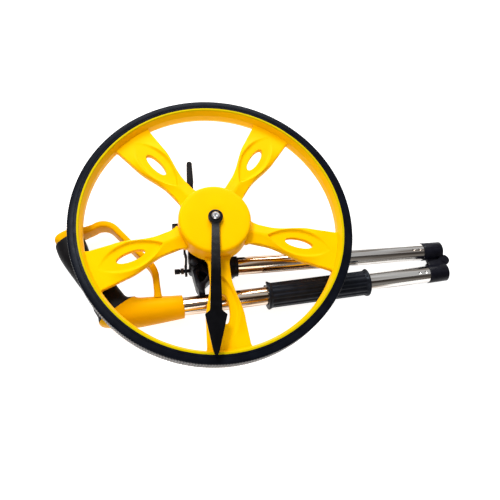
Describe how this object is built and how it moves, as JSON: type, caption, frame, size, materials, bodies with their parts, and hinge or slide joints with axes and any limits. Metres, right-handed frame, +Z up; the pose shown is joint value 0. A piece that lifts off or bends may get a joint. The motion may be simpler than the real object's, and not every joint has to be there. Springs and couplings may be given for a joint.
{
  "type": "measuring wheel",
  "caption": "Folding distance-measuring wheel: spoked wheel with rubber tyre, pointer, drum counter, side stand, hinged chromed shaft, lock sleeve and D-shaped hand grip.",
  "frame": {"origin": "on the wheel's axle line, in the plane of the bracket's flat back on which the folded wheel lies", "axes": "+Z up the axle to the pointer side, +X along the wheel-side tube from the axle to the fold hinge, +Y across it, away from the folded handle"},
  "size_m": [0.4672, 0.3182, 0.0792],
  "materials": {
    "yellow_plastic": "smooth moulded, slight gloss",
    "tyre_rubber": "satin sidewall with a ribbed tread",
    "black_plastic": "fine moulded grain",
    "pointer_plastic": "glossy moulded",
    "grip_rubber": "matte soft touch",
    "sleeve_rubber": "satin, lengthwise flutes",
    "chrome": "polished",
    "steel": "zinc plated",
    "bronze": "sintered",
    "white_plastic": "moulded",
    "clear_plastic": "clear moulded window"
  },
  "bodies": {
    "frame": {"bracket": "black_plastic", "bracket_cover": "black_plastic", "cover_screws": "steel", "axle": "steel", "axle_spacer": "steel", "pointer_screw": "steel", "pointer_washer": "steel", "wheel_tube": "chrome", "tube_collar": "black_plastic", "socket_screw": "steel", "wheel_hinge_block": "black_plastic", "hinge_pin": "black_plastic", "counter_case": "black_plastic", "counter_cover": "black_plastic", "counter_window": "clear_plastic", "counter_screws": "steel", "drum_shaft": "steel", "reset_bolt": "black_plastic", "reset_spring": "steel", "stand_pin": "black_plastic"},
    "wheel": {"wheel": "yellow_plastic", "tyre": "tyre_rubber", "front_bush": "bronze", "rear_bush": "bronze", "drive_gear": "white_plastic", "gear_screws": "steel"},
    "pointer": {"pointer": "pointer_plastic"},
    "decimetre_drum": {"counter_pinion": "white_plastic", "decimetre_drum": "white_plastic"},
    "metre_drum": {"metre_drum": "white_plastic"},
    "ten_metre_drum": {"ten_metre_drum": "white_plastic"},
    "hundred_metre_drum": {"hundred_metre_drum": "white_plastic"},
    "thousand_metre_drum": {"thousand_metre_drum": "white_plastic"},
    "reset_lever": {"reset_lever": "black_plastic"},
    "stand": {"stand_leg": "black_plastic", "stand_tip": "grip_rubber"},
    "handle": {"handle_tube": "chrome", "handle_hinge_block": "black_plastic", "handle_front_shell": "yellow_plastic", "handle_back_shell": "yellow_plastic", "grip_rubber": "grip_rubber", "handle_screws": "steel"},
    "sleeve": {"lock_sleeve": "sleeve_rubber"}
  },
  "joints": [
    {"name": "wheel_spin", "type": "hinge", "parent": "frame", "child": "wheel", "pos_m": [0, 0, 0.0505], "axis": [0, 0, 1], "continuous": true},
    {"name": "pointer_turn", "type": "hinge", "parent": "frame", "child": "pointer", "pos_m": [0, 0, 0.0748], "axis": [0, 0, 1], "continuous": true},
    {"name": "decimetre_count", "type": "hinge", "parent": "frame", "child": "decimetre_drum", "pos_m": [0.02199, 0.00961, 0.02], "axis": [0, 0, 1], "continuous": true},
    {"name": "metre_count", "type": "hinge", "parent": "frame", "child": "metre_drum", "pos_m": [0.02199, 0.00961, 0.02], "axis": [0, 0, 1], "continuous": true},
    {"name": "ten_metre_count", "type": "hinge", "parent": "frame", "child": "ten_metre_drum", "pos_m": [0.02199, 0.00961, 0.02], "axis": [0, 0, 1], "continuous": true},
    {"name": "hundred_metre_count", "type": "hinge", "parent": "frame", "child": "hundred_metre_drum", "pos_m": [0.02199, 0.00961, 0.02], "axis": [0, 0, 1], "continuous": true},
    {"name": "thousand_metre_count", "type": "hinge", "parent": "frame", "child": "thousand_metre_drum", "pos_m": [0.02199, 0.00961, 0.02], "axis": [0, 0, 1], "continuous": true},
    {"name": "reset_press", "type": "hinge", "parent": "frame", "child": "reset_lever", "pos_m": [-0.0341, -0.0405, 0.0165], "axis": [-1, 0, 0], "range_deg": [0, 9], "stiffness_Nm_per_rad": 0.05, "springref_deg": -22.92},
    {"name": "stand_swing", "type": "hinge", "parent": "frame", "child": "stand", "pos_m": [-0.0255, -0.038, 0.036], "axis": [0, 0, 1], "range_deg": [0, 128]},
    {"name": "handle_fold", "type": "hinge", "parent": "frame", "child": "handle", "pos_m": [0.2835, -0.0536, 0.0165], "axis": [0, 0, 1], "range_deg": [0, 177.4]},
    {"name": "sleeve_slide", "type": "slide", "parent": "handle", "child": "sleeve", "axis": [0.999, 0.0454, 0], "range_m": [-0.068, 0.1665]}
  ],
  "couplings": [
    {"joint": "decimetre_count", "follows": "wheel_spin", "ratio": -1},
    {"joint": "metre_count", "follows": "wheel_spin", "ratio": -0.1},
    {"joint": "ten_metre_count", "follows": "wheel_spin", "ratio": -0.01},
    {"joint": "hundred_metre_count", "follows": "wheel_spin", "ratio": -0.001},
    {"joint": "thousand_metre_count", "follows": "wheel_spin", "ratio": -0.0001}
  ]
}
